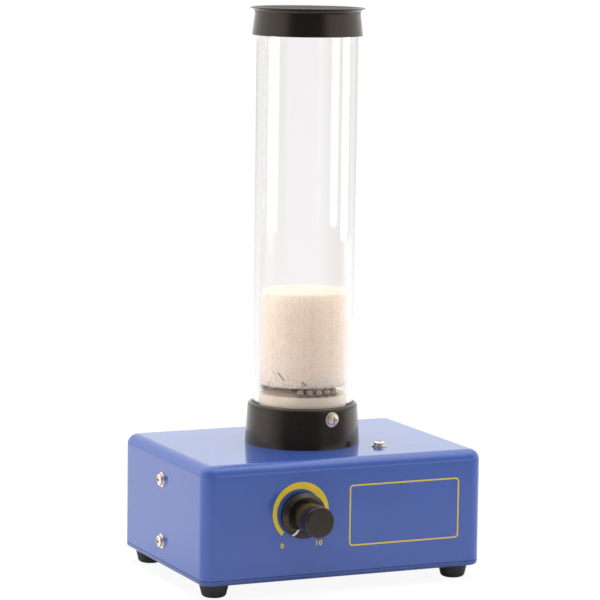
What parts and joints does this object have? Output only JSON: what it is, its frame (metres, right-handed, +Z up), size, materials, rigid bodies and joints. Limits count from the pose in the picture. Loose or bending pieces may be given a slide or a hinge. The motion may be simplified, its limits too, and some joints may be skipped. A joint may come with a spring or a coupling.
{
  "type": "kinetic theory apparatus",
  "caption": "Kinetic theory demonstrator: painted case with a speed knob and dial, clear upright tube with a cap, steel balls on a motor-driven piston and a foam float above them.",
  "frame": {"origin": "on the table under the middle of the whole part's box", "axes": "+Z up along the tube, -Y out of the front panel with the knob, +X to the right seen from the front"},
  "size_m": [0.1522, 0.133, 0.282],
  "materials": {
    "blue_paint": "gloss",
    "black_rubber": "matte",
    "plated_screw": "polished",
    "plated_washer": "satin",
    "plated_nut": "satin",
    "black_plastic": "satin",
    "clear_plastic": "gloss",
    "white_foam": "matte",
    "bright_steel": "polished",
    "white_plastic": "satin",
    "cast_aluminium": "satin",
    "brass": "satin",
    "dark_steel": "satin",
    "motor_steel": "satin",
    "dark_plastic": "satin",
    "copper_winding": "satin",
    "green_plastic": "satin",
    "white_line": "satin",
    "red_plastic": "gloss",
    "red_insulation": "satin",
    "black_insulation": "satin",
    "yellow_insulation": "satin"
  },
  "bodies": {
    "base": {"cover_top": "blue_paint", "cover_front": "blue_paint", "cover_rear": "blue_paint", "cover_sides": "blue_paint", "cover_corners": "blue_paint", "corner_angles": "blue_paint", "base_tray": "blue_paint", "foot_front_left": "black_rubber", "foot_front_right": "black_rubber", "foot_rear_left": "black_rubber", "foot_rear_right": "black_rubber", "foot_screws": "plated_screw", "side_screws": "plated_screw", "top_screw": "plated_screw", "machine_nuts": "plated_nut", "plain_washers": "plated_washer", "tube_collar": "black_plastic", "collar_screws": "plated_screw", "collar_fixing_screws": "plated_screw", "tube": "clear_plastic", "motor_can": "motor_steel", "motor_end_cap": "dark_plastic", "motor_bearing": "brass", "motor_magnets": "dark_steel", "motor_terminals": "plated_nut", "motor_bracket": "motor_steel", "motor_screws": "plated_screw", "potentiometer_body": "green_plastic", "potentiometer_bushing": "brass", "potentiometer_terminals": "plated_nut", "potentiometer_washer": "plated_washer", "potentiometer_nut": "plated_nut", "regulator": "dark_plastic", "regulator_metal": "plated_nut", "socket_red_body": "red_plastic", "socket_black_body": "black_plastic", "socket_sleeves": "brass", "socket_nuts": "plated_nut", "lead_supply_red": "red_insulation", "lead_motor_red": "red_insulation", "lead_supply_black": "black_insulation", "lead_control_a": "yellow_insulation", "lead_control_b": "black_insulation"},
    "crank": {"crank_disc": "cast_aluminium", "crank_pin": "bright_steel", "crank_pin_clip": "dark_steel", "crank_grub_screw": "dark_steel", "motor_shaft": "bright_steel", "motor_armature": "copper_winding"},
    "rod": {"connecting_rod": "cast_aluminium", "rod_bush": "brass"},
    "piston": {"piston": "white_plastic", "wrist_pin": "bright_steel"},
    "balls": {"steel_balls": "bright_steel"},
    "float": {"foam_float": "white_foam"},
    "cap": {"top_cap": "black_plastic"},
    "knob": {"potentiometer_shaft": "bright_steel", "control_knob": "black_plastic", "knob_pointer": "white_line", "knob_set_screw": "dark_steel"}
  },
  "joints": [
    {"name": "knob_turn", "type": "hinge", "parent": "base", "child": "knob", "pos_m": [-0.0227, -0.044, 0.0396], "axis": [0, 1, 0], "range_deg": [0, 290]},
    {"name": "crank_spin", "type": "hinge", "parent": "base", "child": "crank", "pos_m": [0.0013, 0.0095, 0.035], "axis": [1, 0, 0], "continuous": true},
    {"name": "rod_swing", "type": "hinge", "parent": "crank", "child": "rod", "pos_m": [0.0013, 0.0095, 0.0335], "axis": [1, 0, 0], "continuous": true},
    {"name": "piston_slide", "type": "slide", "parent": "base", "child": "piston", "axis": [0, 0, 1], "range_m": [0, 0.003]},
    {"name": "balls_bounce", "type": "slide", "parent": "piston", "child": "balls", "axis": [0, 0, 1], "range_m": [0, 0.03]},
    {"name": "float_rise", "type": "slide", "parent": "balls", "child": "float", "axis": [0, 0, 1], "range_m": [0, 0.08]},
    {"name": "cap_lift", "type": "slide", "parent": "base", "child": "cap", "axis": [0, 0, 1], "range_m": [0, 0.02]}
  ],
  "couplings": [
    {"joint": "rod_swing", "follows": "crank_spin", "ratio": -1}
  ]
}
